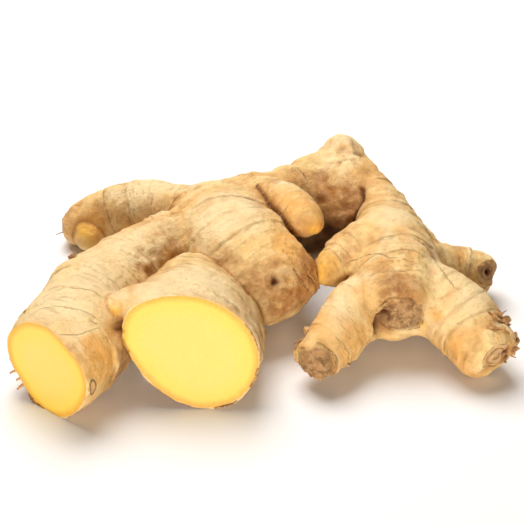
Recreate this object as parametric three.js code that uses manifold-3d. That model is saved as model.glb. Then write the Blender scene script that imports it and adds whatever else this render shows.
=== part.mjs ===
// A hand of fresh ginger (the rhizome of Zingiber officinale), lying on a table. It grew as one
// piece, swollen segments and side fingers budding off each other, so it is one solid. Two of its
// arms are sliced through with a knife, and the lowest lobes are a little flat where they rest.
// Millimetres, +Z up, the knife cuts facing -Y, and the origin on the table under the middle of
// the part's bounding box.
import * as THREE from "three";
import { mergeVertices } from "three/addons/utils/BufferGeometryUtils.js";
import Module from "manifold-3d";

const wasm = await Module();
wasm.setup();

// The lobes are drawn from a point on the table, which then moves to the box's middle.
const TABLE_CENTRE = new THREE.Vector3(0.9, -0.834, 0);

// How finely a lobe is faceted: a thick one has more sides than a thin one.
const FEWEST_SIDES = 9;
const SIDES_PER_RADIUS = 0.75;
const LOOP_SPACING = 5;

// Ring scars: each old scale leaf left a low step round the lobe, like a sleeve's edge.
const RING_HEIGHT = 0.6;
const RING_RISE = 4.5; // how far back the swelling behind a step reaches
const RING_DROP = 0.5; // the length of the step itself
const RING_CLEAR = 1.2; // no other loop lies nearer to a ring than this
const RING_DRIFT = 1.2; // a ring is not square to its lobe, and wanders by this much

// How a lobe ends, as [along, across] in multiples of its last radius.
const TIPS = {
  rounded: [[0, 1], [0.38, 0.93], [0.7, 0.74], [0.92, 0.45], [1, 0]],
  bud: [[0, 1], [0.3, 0.96], [0.34, 0.88], [0.62, 0.76], [0.66, 0.66], [0.9, 0.5], [1.1, 0.2], [1.14, 0]],
  scar: [[0, 1], [0.3, 1], [0.48, 0.92], [0.55, 0.8], [0.46, 0.68], [0.38, 0.5], [0.44, 0.3], [0.4, 0]],
  worn: [[0, 1], [0.3, 0.95], [0.52, 0.82], [0.6, 0.66], [0.53, 0.6], [0.5, 0.3], [0.52, 0]],
};

// Each lobe follows a spine of [x, y, z, radius] points. wide is its section's width over its
// height, roll turns that section, dent is where round it and by how much it stayed flatter, phase
// sets its unevenness, and rings are its ring scars, in millimetres from the start of the spine.
const LOBES = {
  mother: {
    spine: [[-6, 31, 20, 13], [-17, 22, 20, 14.5], [-24, 14, 19, 12.5]],
    phase: 2.9, rings: [9], tip: "rounded",
  },
  middle: {
    spine: [[0, 40, 20, 12], [-8, 30, 21, 15], [-11, 16, 21, 17.5], [-7, 3, 20, 18.4], [-0.5, -7, 18.3, 17]],
    wide: 1.28, phase: 0.4, rings: [12, 20, 28, 37, 45.5], tip: "rounded",
  },
  leftArm: {
    spine: [
      [-10, 25, 20.5, 13], [-26, 16.5, 18.2, 11.4], [-39, 8, 17, 12], [-48, -6, 16, 13.3],
      [-55, -22, 16, 16.2], [-58, -37, 16, 17.6], [-65, -54, 15.5, 16.8], [-75, -70, 15, 15],
    ],
    wide: 1.03, phase: 1.7, rings: [30, 45, 58, 70, 83, 92], tip: "rounded",
  },
  frontArm: {
    spine: [
      [-13, 2, 13, 9], [-15, -8, 14.2, 12], [-17.5, -20, 16.6, 16], [-19.5, -32, 18.2, 19],
      [-22, -46, 18.7, 20.5], [-25, -64, 17.8, 19],
    ],
    wide: 1.3, roll: 33, dent: [-80, 0.16], phase: 2.6, rings: [24, 30, 37, 44], tip: "rounded",
  },
  frontArmBud: {
    spine: [[-32, -37, 29, 7], [-38.5, -38.5, 29.5, 6], [-43, -38.5, 28.5, 5.2]],
    phase: 0.7, rings: [5], tip: "bud",
  },
  backLeftFinger: {
    spine: [
      [-12, 30, 20, 11], [-26, 37, 17.6, 8.6], [-40, 44, 16.6, 8.9], [-54, 47, 12, 8.8],
      [-65.5, 45.5, 7.6, 7.8],
    ],
    phase: 3.1, rings: [17, 26, 36, 46], tip: "rounded",
  },
  backLeftBud: {
    spine: [[-60, 47, 9, 6], [-62, 41.5, 8, 5.6], [-62.5, 38, 7, 5.2]],
    phase: 0.1, rings: [4], tip: "bud",
  },
  back: {
    spine: [[-4, 34, 22, 12], [6, 41.5, 19.5, 10.2], [18, 48, 21, 11], [28, 50.5, 23.5, 12]],
    phase: 4.2, rings: [12, 22], tip: "rounded",
  },
  peak: {
    spine: [[29, 49, 24, 12.5], [28.8, 51.5, 28, 10.6], [28.6, 53.5, 32.4, 7.1]],
    phase: 0.9, rings: [], tip: "rounded",
  },
  backKnob: {
    spine: [[29, 50, 23, 12.5], [30.5, 41.5, 22.5, 12.2], [33, 32.4, 18.5, 9.2]],
    phase: 5.3, rings: [7], tip: "rounded",
  },
  backFoot: {
    spine: [[22, 47, 18, 12], [21, 46, 12, 12], [20.5, 45.5, 7, 10.5]],
    phase: 1.9, rings: [6], tip: "rounded",
  },
  nestedFinger: {
    spine: [[4, 30, 28, 7], [9, 20, 30.5, 7.4], [14, 11, 30, 6.4]],
    phase: 6.1, rings: [9, 17], tip: "bud",
  },
  right: {
    spine: [
      [29.5, 51.5, 24, 12], [38.8, 37.5, 23.5, 8.4], [42.2, 27, 23.5, 9.2],
      [42.6, 17, 22, 11.6], [43, 3, 21, 15], [43.5, -12, 18.5, 14.6], [43, -21, 18, 13],
    ],
    phase: 0.9, rings: [12, 19, 27, 34, 42, 50, 60, 68], tip: "worn",
  },
  rightBud: {
    spine: [[40, 1, 21, 13.5], [32.5, 0, 22, 11.2], [25, -5, 21.8, 7.2]],
    phase: 1.2, rings: [6], tip: "bud",
  },
  frontFinger: {
    spine: [[39, -12, 15.5, 10], [31.5, -21, 15, 9.6], [23.5, -33, 12.8, 8.6], [18, -40.3, 10.8, 7.2]],
    phase: 2.2, rings: [14, 24, 31], tip: "scar",
  },
  rightFrontFinger: {
    spine: [[47, -5, 16, 11], [57.5, -17, 15.6, 11.8], [65.3, -27, 12.3, 11.5], [69.6, -34.8, 10.3, 10.3]],
    phase: 3.7, rings: [16, 26, 33], tip: "scar",
  },
  rightBackFinger: {
    spine: [[44, 4, 15, 8], [57, 8, 12.8, 7.2], [67, 10.5, 11, 7.6], [74.5, 9.5, 10, 7.2]],
    phase: 4.8, rings: [14, 22, 28], tip: "worn",
  },
};

// Rootlets and dry scale ends that stand out of the skin, each a short tapered stub.
const STUBS = [
  { root: [74, -33, 16], tip: [78.4, -32.6, 20.4], radius: 2.6 },
  { root: [76, -36, 12], tip: [81.6, -35.6, 12.4], radius: 2.4 },
  { root: [20, -33, 14], tip: [13.2, -34.4, 16.2], radius: 1.9 },
  { root: [24, -40, 9], tip: [27.6, -41.4, 7.2], radius: 1.3 },
  { root: [-1, -31, 13], tip: [4.6, -33.8, 13.5], radius: 1.9 },
  { root: [-72, -42, 9], tip: [-79.6, -44.2, 6.2], radius: 1.4 },
  { root: [-58, -15, 26], tip: [-62, -12.2, 31.6], radius: 1.5 },
  { root: [-69.5, -40, 24], tip: [-74.6, -39.2, 28.6], radius: 1.5 },
];
const STUB_SIDES = 7;
const STUB_TAPER = 0.6; // a stub's width at its tip over that at its root

// Holes where a shoot or a root has dried out of its scar.
const PITS = [
  { at: [3.2, -21.6, 25.6], radius: 2.8 },
  { at: [36.2, -27.4, 13], radius: 3.2 },
  { at: [78.4, 4, 12.2], radius: 1.7 },
];
const PIT_SIDES = 10;

// The knife's planes: through a point, facing the side that is sliced away.
const CUTS = {
  leftArm: { through: [-66, -54, 14], facing: [-0.64, -0.77, 0.05] },
  frontArm: { through: [-23, -50, 19], facing: [-0.03, -0.97, 0.2] },
};
const KNIFE_SIZE = 400;

// A curve through [x, y, z, radius] points, and its radius at any station along it.
function spineOf(points) {
  const places = points.map(([x, y, z]) => new THREE.Vector3(x, y, z));
  const curve = new THREE.CatmullRomCurve3(places, false, "centripetal");
  const length = curve.getLength();
  const chords = [0];
  for (let i = 1; i < places.length; i++) chords.push(chords[i - 1] + places[i].distanceTo(places[i - 1]));
  const stretch = length / chords.at(-1);
  const radii = new THREE.CatmullRomCurve3(
    points.map((p, i) => new THREE.Vector3(chords[i] * stretch, p[3], 0)), false, "centripetal");
  const samples = radii.getPoints(200);
  const radiusAt = (s) => {
    const found = samples.findIndex((p) => p.x >= s);
    const after = found === -1 ? samples.length - 1 : Math.max(1, found);
    const [a, b] = [samples[after - 1], samples[after]];
    return THREE.MathUtils.mapLinear(THREE.MathUtils.clamp(s, a.x, b.x), a.x, b.x, a.y, b.y);
  };
  return { curve, length, radiusAt };
}

// What the ring scars add to a lobe's radius at station s.
function ringStep(s, rings) {
  const next = rings.find((ring) => s <= ring);
  return next === undefined ? 0 : RING_HEIGHT * Math.exp((s - next) / RING_RISE);
}

// The loops of a lobe: evenly spaced, with a close pair at each ring scar.
function loopsOf(length, rings) {
  const count = Math.round(length / LOOP_SPACING);
  const even = Array.from({ length: count + 1 }, (_, i) => (i * length) / count);
  const clear = even.filter((s) => !rings.some((ring) =>
    s > ring - RING_CLEAR && s < ring + RING_DROP + RING_CLEAR));
  return [...clear, ...rings.flatMap((ring) => [ring, ring + RING_DROP])].sort((a, b) => a - b);
}

// Low unevenness round and along a lobe, so that no section is a true circle.
function swelling(angle, s, phase) {
  return 1 + 0.035 * Math.sin(2 * angle + 0.07 * s + 5 * phase)
    + 0.025 * Math.sin(3 * angle - 0.11 * s + 3 * phase)
    + 0.02 * Math.sin(0.28 * s + angle + phase);
}

// How much of its radius a lobe keeps where it grew against something and stayed flatter.
function dented(angle, [where, depth]) {
  const facing = Math.max(0, Math.cos(angle - THREE.MathUtils.degToRad(where)));
  return 1 - depth * facing * facing;
}

// How far a ring scar has wandered along the lobe, none at the lobe's ends.
function drift(angle, s, length, phase) {
  const inside = Math.sin(Math.PI * THREE.MathUtils.clamp(s / length, 0, 1));
  return RING_DRIFT * inside * (Math.sin(angle + 2 * phase) + 0.4 * Math.sin(3 * angle + phase));
}

// One lobe: a profile turned on a lathe, then bent along its spine.
function lobe({ spine, wide = 1, roll = 0, dent = [0, 0], phase, rings, tip }) {
  const { curve, length, radiusAt } = spineOf(spine);
  const startRadius = radiusAt(0) + ringStep(0, rings);
  const endRadius = radiusAt(length);
  const profile = [
    ...TIPS.rounded.slice(1).reverse().map(([along, across]) =>
      new THREE.Vector2(across * startRadius, -along * startRadius)),
    ...loopsOf(length, rings).map((s) => new THREE.Vector2(radiusAt(s) + ringStep(s, rings), s)),
    ...TIPS[tip].slice(1).map(([along, across]) =>
      new THREE.Vector2(across * endRadius, length + along * endRadius)),
  ];
  const thickest = Math.max(...profile.map((p) => p.x));
  const sides = Math.round(FEWEST_SIDES + SIDES_PER_RADIUS * thickest);
  const geometry = new THREE.LatheGeometry(profile, sides);
  const position = geometry.getAttribute("position");
  const up = new THREE.Vector3(0, 0, 1);
  const turn = THREE.MathUtils.degToRad(roll);
  for (let i = 0; i < position.count; i++) {
    const angle = Math.atan2(position.getZ(i), position.getX(i));
    const level = position.getY(i);
    const s = level + drift(angle, level, length, phase);
    const t = THREE.MathUtils.clamp(s / length, 0, 1);
    const along = curve.getTangentAt(t);
    const side = new THREE.Vector3().crossVectors(along, up).normalize();
    const lift = new THREE.Vector3().crossVectors(side, along);
    const even = Math.hypot(position.getX(i), position.getZ(i));
    const r = even * swelling(angle, s, phase) * dented(angle, dent);
    const across = new THREE.Vector2(Math.cos(angle) * Math.sqrt(wide), Math.sin(angle) / Math.sqrt(wide))
      .multiplyScalar(r)
      .rotateAround(new THREE.Vector2(), turn);
    const point = curve.getPointAt(t)
      .addScaledVector(side, across.x)
      .addScaledVector(lift, across.y)
      .addScaledVector(along, s - t * length);
    position.setXYZ(i, point.x, point.y, point.z);
  }
  return geometry;
}

// A closed geometry as a solid that can be joined and cut.
function solidOf(geometry) {
  geometry.deleteAttribute("normal");
  geometry.deleteAttribute("uv");
  const merged = mergeVertices(geometry, 1e-3);
  return new wasm.Manifold(new wasm.Mesh({
    numProp: 3,
    vertProperties: merged.getAttribute("position").array,
    triVerts: new Uint32Array(merged.index.array),
  }));
}

// A solid as a geometry again.
function geometryOf(solid) {
  const { vertProperties, triVerts } = solid.getMesh();
  return new THREE.BufferGeometry()
    .setAttribute("position", new THREE.BufferAttribute(new Float32Array(vertProperties), 3))
    .setIndex(new THREE.BufferAttribute(new Uint32Array(triVerts), 1));
}

// All that lies on the far side of a plane, as a block to take away.
function knife({ through, facing }) {
  const block = new THREE.BoxGeometry(KNIFE_SIZE, KNIFE_SIZE, KNIFE_SIZE).translate(0, 0, KNIFE_SIZE / 2);
  const turn = new THREE.Quaternion().setFromUnitVectors(
    new THREE.Vector3(0, 0, 1), new THREE.Vector3(...facing).normalize());
  return solidOf(block.applyQuaternion(turn).translate(...through));
}

function stub({ root, tip, radius }) {
  const [from, to] = [new THREE.Vector3(...root), new THREE.Vector3(...tip)];
  const length = from.distanceTo(to);
  const turn = new THREE.Quaternion().setFromUnitVectors(
    new THREE.Vector3(0, 1, 0), to.clone().sub(from).normalize());
  const peg = new THREE.CylinderGeometry(radius * STUB_TAPER, radius, length, STUB_SIDES, 1);
  return solidOf(peg.applyQuaternion(turn).translate(...from.lerp(to, 0.5)));
}

function pit({ at, radius }) {
  return solidOf(new THREE.SphereGeometry(radius, PIT_SIDES, PIT_SIDES / 2).translate(...at));
}

function rhizomeSolid() {
  const lobes = Object.entries(LOBES).map(([name, shape]) => {
    const whole = solidOf(lobe(shape));
    return CUTS[name] ? whole.subtract(knife(CUTS[name])) : whole;
  });
  let grown = [...lobes, ...STUBS.map(stub)].reduce((joined, next) => joined.add(next));
  for (const hole of PITS) grown = grown.subtract(pit(hole));
  return grown.subtract(knife({ through: [0, 0, 0], facing: [0, 0, -1] }));
}

const rhizome = new THREE.Mesh(
  geometryOf(rhizomeSolid()),
  new THREE.MeshStandardMaterial({ color: 0xdcb483, roughness: 0.7, metalness: 0 }),
);
rhizome.name = "rhizome";
rhizome.position.copy(TABLE_CENTRE).negate();

const ginger = new THREE.Group();
ginger.add(rhizome);

export default ginger;
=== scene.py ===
import itertools
import math

import bmesh
import bpy
import numpy as np
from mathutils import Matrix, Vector


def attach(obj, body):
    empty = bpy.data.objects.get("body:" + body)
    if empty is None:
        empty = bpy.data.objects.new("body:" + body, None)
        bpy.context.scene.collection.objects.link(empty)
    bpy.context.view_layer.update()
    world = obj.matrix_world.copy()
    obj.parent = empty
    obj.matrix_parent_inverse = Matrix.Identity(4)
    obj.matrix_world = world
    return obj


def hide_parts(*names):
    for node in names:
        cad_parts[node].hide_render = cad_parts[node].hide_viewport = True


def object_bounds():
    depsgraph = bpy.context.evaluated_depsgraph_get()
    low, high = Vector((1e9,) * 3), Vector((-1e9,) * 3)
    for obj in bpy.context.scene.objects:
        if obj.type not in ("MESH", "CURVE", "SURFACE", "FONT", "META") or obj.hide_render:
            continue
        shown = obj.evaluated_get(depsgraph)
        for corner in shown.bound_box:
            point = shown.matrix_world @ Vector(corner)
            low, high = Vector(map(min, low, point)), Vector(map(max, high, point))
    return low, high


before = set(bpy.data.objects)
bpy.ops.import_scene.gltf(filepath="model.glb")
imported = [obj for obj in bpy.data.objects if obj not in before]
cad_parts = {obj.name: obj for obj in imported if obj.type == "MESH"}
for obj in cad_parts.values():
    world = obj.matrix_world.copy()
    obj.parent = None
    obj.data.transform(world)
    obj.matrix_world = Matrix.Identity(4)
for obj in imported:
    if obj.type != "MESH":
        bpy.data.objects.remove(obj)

cad_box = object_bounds()

# The rhizome: one living piece, swollen segments that budded off each other in the soil. Each
# lobe is a fleshy tube under a thin corky skin, ringed by the scars of its scale leaves. It was
# washed and dried, and a knife took the ends off two arms.
MM = 0.001
TABLE_CENTRE = np.array([0.9, -0.834, 0.0])  # of the drawing that the spines are taken from, in mm
LOBES = {
    # spine: x, y, z and radius in mm; rings: how far along it each scale leaf grew
    "mother": dict(
        spine=[(-6, 31, 20, 13), (-17, 22, 20, 14.5), (-24, 14, 19, 12.5)],
        phase=2.9, rings=[9]),
    "middle": dict(
        spine=[(0, 40, 20, 12), (-8, 30, 21, 15), (-11, 16, 21, 17.5), (-7, 3, 20, 18.4),
               (-0.5, -7, 18.3, 17)],
        wide=1.28, phase=0.4, rings=[12, 20, 28, 37, 45.5]),
    "leftArm": dict(
        spine=[(-10, 25, 20.5, 13), (-26, 16.5, 18.2, 11.4), (-39, 8, 17, 12), (-48, -6, 16, 13.3),
               (-55, -22, 16, 16.2), (-58, -37, 16, 17.6), (-65, -54, 15.5, 16.8), (-75, -70, 15, 15)],
        wide=1.03, phase=1.7, rings=[30, 45, 58, 70, 83, 92]),
    "frontArm": dict(
        spine=[(-13, 2, 13, 9), (-15, -8, 14.2, 12), (-17.5, -20, 16.6, 16), (-19.5, -32, 18.2, 19),
               (-22, -46, 18.7, 20.5), (-25, -64, 17.8, 19)],
        wide=1.3, roll=33, dent=(-80, 0.16), phase=2.6, rings=[24, 30, 37, 44]),
    "frontArmBud": dict(
        spine=[(-32, -37, 29, 7), (-38.5, -38.5, 29.5, 6), (-43, -38.5, 28.5, 5.2)],
        phase=0.7, rings=[5], tip="bud"),
    "backLeftFinger": dict(
        spine=[(-12, 30, 20, 11), (-26, 37, 17.6, 8.6), (-40, 44, 16.6, 8.9), (-54, 47, 12, 8.8),
               (-65.5, 45.5, 7.6, 7.8)],
        phase=3.1, rings=[17, 26, 36, 46]),
    "backLeftBud": dict(
        spine=[(-60, 47, 9, 6), (-62, 41.5, 8, 5.6), (-62.5, 38, 7, 5.2)],
        phase=0.1, rings=[4], tip="bud"),
    "back": dict(
        spine=[(-4, 34, 22, 12), (6, 41.5, 19.5, 10.2), (18, 48, 21, 11), (28, 50.5, 23.5, 12)],
        phase=4.2, rings=[12, 22]),
    "peak": dict(
        spine=[(29, 49, 24, 12.5), (28.8, 51.5, 28, 10.6), (28.6, 53.5, 32.4, 7.1)],
        phase=0.9, rings=[]),
    "backKnob": dict(
        spine=[(29, 50, 23, 12.5), (30.5, 41.5, 22.5, 12.2), (33, 32.4, 18.5, 9.2)],
        phase=5.3, rings=[7]),
    "backFoot": dict(
        spine=[(22, 47, 18, 12), (21, 46, 12, 12), (20.5, 45.5, 7, 10.5)],
        phase=1.9, rings=[6]),
    "nestedFinger": dict(
        spine=[(4, 30, 28, 7), (9, 20, 30.5, 7.4), (14, 11, 30, 6.4)],
        phase=6.1, rings=[15, 18.5], tip="bud"),
    "right": dict(
        spine=[(29.5, 51.5, 24, 12), (38.8, 37.5, 23.5, 8.4), (42.2, 27, 23.5, 9.2),
               (42.6, 17, 22, 11.6), (43, 3, 21, 15), (43.5, -12, 18.5, 14.6), (43, -21, 18, 13)],
        phase=0.9, rings=[12, 19, 27, 34, 42, 50, 60, 68], tip="worn"),
    "rightBud": dict(
        spine=[(40, 1, 21, 13.5), (32.5, 0, 22, 11.2), (25, -5, 21.8, 7.2)],
        phase=1.2, rings=[6, 12, 16, 19], tip="bud"),
    "frontFinger": dict(
        spine=[(39, -12, 15.5, 10), (31.5, -21, 15, 9.6), (23.5, -33, 12.8, 8.6), (18, -40.3, 10.8, 7.2)],
        phase=2.2, rings=[14, 24, 31], tip="scar"),
    "rightFrontFinger": dict(
        spine=[(47, -5, 16, 11), (57.5, -17, 15.6, 11.8), (65.3, -27, 12.3, 11.5), (69.6, -34.8, 10.3, 10.3)],
        phase=3.7, rings=[16, 26, 33], tip="scar"),
    "rightBackFinger": dict(
        spine=[(44, 4, 15, 8), (57, 8, 12.8, 7.2), (67, 10.5, 11, 7.6), (74.5, 9.5, 10, 7.2)],
        phase=4.8, rings=[14, 22, 28], tip="worn"),
}
# How a lobe ends, as (along, across) in multiples of its last radius.
TIPS = {
    "rounded": [(0, 1), (0.2, 0.98), (0.38, 0.93), (0.55, 0.84), (0.7, 0.72), (0.82, 0.57), (0.92, 0.39),
                (0.98, 0.2), (1, 0)],
    "bud": [(0, 1), (0.3, 0.96), (0.34, 0.88), (0.62, 0.76), (0.66, 0.66), (0.9, 0.5), (1.1, 0.2), (1.14, 0)],
    "scar": [(0, 1), (0.25, 0.98), (0.42, 0.91), (0.54, 0.79), (0.59, 0.64), (0.58, 0.45), (0.62, 0.25),
             (0.62, 0)],
    "worn": [(0, 1), (0.3, 0.95), (0.52, 0.82), (0.6, 0.66), (0.53, 0.6), (0.5, 0.3), (0.52, 0)],
}
CUTS = {
    "leftArm": dict(through=(-66, -54, 14), facing=(-0.64, -0.77, 0.05)),
    "frontArm": dict(through=(-23, -50, 19), facing=(-0.03, -0.97, 0.2)),
}
RING_HEIGHT = 0.6  # the low step at each leaf scar, mm
RING_RISE = 4.5
RING_DRIFT = 1.2
SKIN_CELL = 0.8  # the mesh's spacing, mm
LOOP_SIDES = 56


def smooth_curve(points, per_span=40):
    """Close samples of the centripetal curve through the points."""
    p = np.asarray(points, float)
    p = np.vstack([2 * p[0] - p[1], p, 2 * p[-1] - p[-2]])
    t = np.linspace(0, 1, per_span, endpoint=False)[:, None]
    spans = []
    for a, b, c, d in zip(p, p[1:], p[2:], p[3:]):
        before, here, after = (math.sqrt(np.linalg.norm(y - x)) for x, y in ((a, b), (b, c), (c, d)))
        leave = ((b - a) / before - (c - a) / (before + here) + (c - b) / here) * here
        arrive = ((c - b) / here - (d - b) / (here + after) + (d - c) / after) * here
        spans.append(b + leave * t + (3 * (c - b) - 2 * leave - arrive) * t**2
                     + (2 * (b - c) + leave + arrive) * t**3)
    return np.vstack([*spans, p[-2]])


def spine_of(spec):
    """A lobe's spine as samples: place, station, radius, and the three directions of its section."""
    points = np.array(spec["spine"], float)
    place = smooth_curve(points[:, :3])
    station = np.concatenate([[0], np.cumsum(np.linalg.norm(np.diff(place, axis=0), axis=1))])
    chords = np.concatenate([[0], np.cumsum(np.linalg.norm(np.diff(points[:, :3], axis=0), axis=1))])
    marks = chords * station[-1] / chords[-1]
    radii = smooth_curve(np.column_stack([marks, points[:, 3]]))
    along = np.gradient(place, axis=0)
    along /= np.linalg.norm(along, axis=1)[:, None]
    side = np.cross(along, (0, 0, 1))
    side /= np.linalg.norm(side, axis=1)[:, None]
    return dict(place=place, station=station, radius=np.interp(station, radii[:, 0], radii[:, 1]),
                along=along, side=side, lift=np.cross(side, along), length=station[-1])


def swelling(angle, s, phase):
    """Low unevenness round and along a lobe, so that no section is a true circle."""
    return (1 + 0.035 * np.sin(2 * angle + 0.07 * s + 5 * phase)
            + 0.025 * np.sin(3 * angle - 0.11 * s + 3 * phase)
            + 0.02 * np.sin(0.28 * s + angle + phase))


def dented(angle, spec):
    """How much of its radius a lobe keeps where it grew against something and stayed flatter."""
    where, depth = spec.get("dent", (0, 0))
    return 1 - depth * np.clip(np.cos(angle - math.radians(where)), 0, 1) ** 2


def drift(angle, s, length, phase):
    """How far a leaf scar has wandered along its lobe."""
    inside = np.sin(math.pi * np.clip(s / length, 0, 1))
    return RING_DRIFT * inside * (np.sin(angle + 2 * phase) + 0.4 * np.sin(3 * angle + phase))


def read_points(piece):
    points = np.empty(len(piece.data.vertices) * 3)
    piece.data.vertices.foreach_get("co", points)
    return points.reshape(-1, 3)


def write_points(piece, points):
    piece.data.vertices.foreach_set("co", np.asarray(points, float).ravel())
    piece.data.update()


def grow(name):
    """One lobe: a ball whose rings are spread along the spine."""
    spec = LOBES[name]
    spine = spine_of(spec)
    length, start, end = spine["length"], spine["radius"][0], spine["radius"][-1]
    tip = TIPS[spec.get("tip", "rounded")]
    profile = np.array(
        [(-along * start, across * start) for along, across in TIPS["rounded"][:0:-1]]
        + list(zip(spine["station"], spine["radius"]))
        + [(length + along * end, across * end) for along, across in tip[1:]])
    reach = np.concatenate([[0], np.cumsum(np.linalg.norm(np.diff(profile, axis=0), axis=1))])
    bpy.ops.object.select_all(action="DESELECT")
    bpy.ops.mesh.primitive_uv_sphere_add(segments=LOOP_SIDES, ring_count=int(reach[-1]), radius=1)
    ball = bpy.context.object
    unit = read_points(ball)
    angle = np.arctan2(unit[:, 1], unit[:, 0])
    far = reach[-1] * (0.5 + np.arcsin(np.clip(unit[:, 2], -1, 1)) / math.pi)
    level = np.interp(far, reach, profile[:, 0])
    r = np.interp(far, reach, profile[:, 1])
    s = level + drift(angle, level, length, spec["phase"])
    r = r * swelling(angle, s, spec["phase"]) * dented(angle, spec)
    inside = np.clip(s, 0, length)
    frames = {key: np.column_stack([np.interp(inside, spine["station"], spine[key][:, i]) for i in range(3)])
              for key in ("place", "along", "side", "lift")}
    stretch = math.sqrt(spec.get("wide", 1))
    turn = math.radians(spec.get("roll", 0))
    a, b = r * np.cos(angle) * stretch, r * np.sin(angle) / stretch
    a, b = a * math.cos(turn) - b * math.sin(turn), a * math.sin(turn) + b * math.cos(turn)
    points = (frames["place"] + frames["side"] * a[:, None] + frames["lift"] * b[:, None]
              + frames["along"] * (s - inside)[:, None])
    write_points(ball, (points - TABLE_CENTRE) * MM)
    ball.name = name
    return ball


# The lobes are fused into one skin, and the creases between them soften a little.
spines = {name: spine_of(spec) for name, spec in LOBES.items()}
grown = [grow(name) for name in LOBES]
bpy.ops.object.select_all(action="DESELECT")
for ball in grown:
    ball.select_set(True)
bpy.context.view_layer.objects.active = grown[0]
bpy.ops.object.join()
rhizome = bpy.context.object
rhizome.name = "ginger_rhizome"
rhizome.data.name = "ginger_rhizome"
bpy.ops.object.mode_set(mode="EDIT")
bpy.ops.mesh.select_all(action="SELECT")
bpy.ops.mesh.normals_make_consistent(inside=False)
bpy.ops.object.mode_set(mode="OBJECT")
fuse = rhizome.modifiers.new("fuse", "REMESH")
fuse.mode = "VOXEL"
fuse.voxel_size = SKIN_CELL * MM
soften = rhizome.modifiers.new("soften", "SMOOTH")
soften.factor = 0.5
soften.iterations = 5
for modifier in ("fuse", "soften"):
    bpy.ops.object.modifier_apply(modifier=modifier)


def drawn(points):
    """Points of the frame, in metres, as the drawing's millimetres."""
    return np.asarray(points) / MM + TABLE_CENTRE


def where_on_lobes(points):
    """For points on the skin, in the drawing's mm: the lobe each lies on and the lobe next to it,
    its station, angle and distance out, and how far the next lobe's skin is."""
    found = {key: [] for key in ("depth", "s", "angle", "out", "toward")}
    for name, spec in LOBES.items():
        spine = spines[name]
        place = spine["place"][::3]
        square = (points**2).sum(1)[:, None] - 2 * points @ place.T + (place**2).sum(1)[None, :]
        near = square.argmin(1) * 3
        offset = points - spine["place"][near]
        s = spine["station"][near] + (offset * spine["along"][near]).sum(1)
        turn = math.radians(spec.get("roll", 0))
        a, b = (offset * spine["side"][near]).sum(1), (offset * spine["lift"][near]).sum(1)
        a, b = a * math.cos(turn) + b * math.sin(turn), b * math.cos(turn) - a * math.sin(turn)
        stretch = math.sqrt(spec.get("wide", 1))
        a, b = a / stretch, b * stretch
        angle = np.arctan2(b, a)
        out = np.hypot(a, b)
        beyond = np.maximum(s - spine["length"], 0) + np.maximum(-s, 0)
        even = out / swelling(angle, s, spec["phase"]) / dented(angle, spec)
        depth = np.hypot(even, beyond) - spine["radius"][near]
        toward = offset / (np.linalg.norm(offset, axis=1)[:, None] + 1e-9)
        for key, value in (("depth", depth), ("s", s), ("angle", angle), ("out", out), ("toward", toward)):
            found[key].append(value)
    depth = np.array(found["depth"])
    order = np.argsort(depth, axis=0)[:2]
    rows = np.arange(len(points))
    result = {key: np.array(found[key])[order[0], rows] for key in ("s", "angle", "out")}
    toward = np.array(found["toward"])
    turn = 1 - (toward[order[0], rows] * toward[order[1], rows]).sum(1)
    result.update(lobe=order[0], beside=order[1], turn=turn,
                  gap=depth[order[1], rows] - depth[order[0], rows])
    return result


# Where two lobes grew out of each other the skin runs over in a hollow curve, and where they
# only lie together it folds in sharply. Widths of the curve, in mm.
BLEND = 13
FOLDS = {
    ("middle", "nestedFinger"): 0.5, ("mother", "nestedFinger"): 1, ("leftArm", "frontArm"): 1.5,
    ("middle", "frontArm"): 2.2, ("mother", "frontArm"): 2,
    ("middle", "rightBud"): 0.5, ("backKnob", "right"): 4.5, ("backKnob", "nestedFinger"): 0.5,
    ("backKnob", "rightBud"): 1, ("backFoot", "nestedFinger"): 0.5, ("backFoot", "middle"): 1,
    ("backFoot", "rightBud"): 1, ("backFoot", "right"): 6,
    ("back", "nestedFinger"): 4, ("peak", "back"): 8, ("peak", "right"): 10, ("peak", "backKnob"): 7,
    ("back", "right"): 8, ("back", "backKnob"): 6,
    ("leftArm", "backLeftFinger"): 3, ("leftArm", "backLeftBud"): 1,
    ("backLeftFinger", "backLeftBud"): 2.5, ("frontArm", "frontArmBud"): 4,
    ("leftArm", "frontArmBud"): 2.6, ("right", "rightBud"): 5, ("right", "frontFinger"): 3.2,
    ("right", "rightFrontFinger"): 4.2, ("middle", "frontFinger"): 1, ("rightBud", "frontFinger"): 2,
}
lobe_names = list(LOBES)
width = np.full((len(LOBES), len(LOBES)), float(BLEND))
for (a, b), fold in FOLDS.items():
    a, b = lobe_names.index(a), lobe_names.index(b)
    width[a, b] = width[b, a] = fold


def read_normals(piece):
    normals = np.empty(len(piece.data.vertices) * 3)
    piece.data.vertices.foreach_get("normal", normals)
    return normals.reshape(-1, 3)


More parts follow.
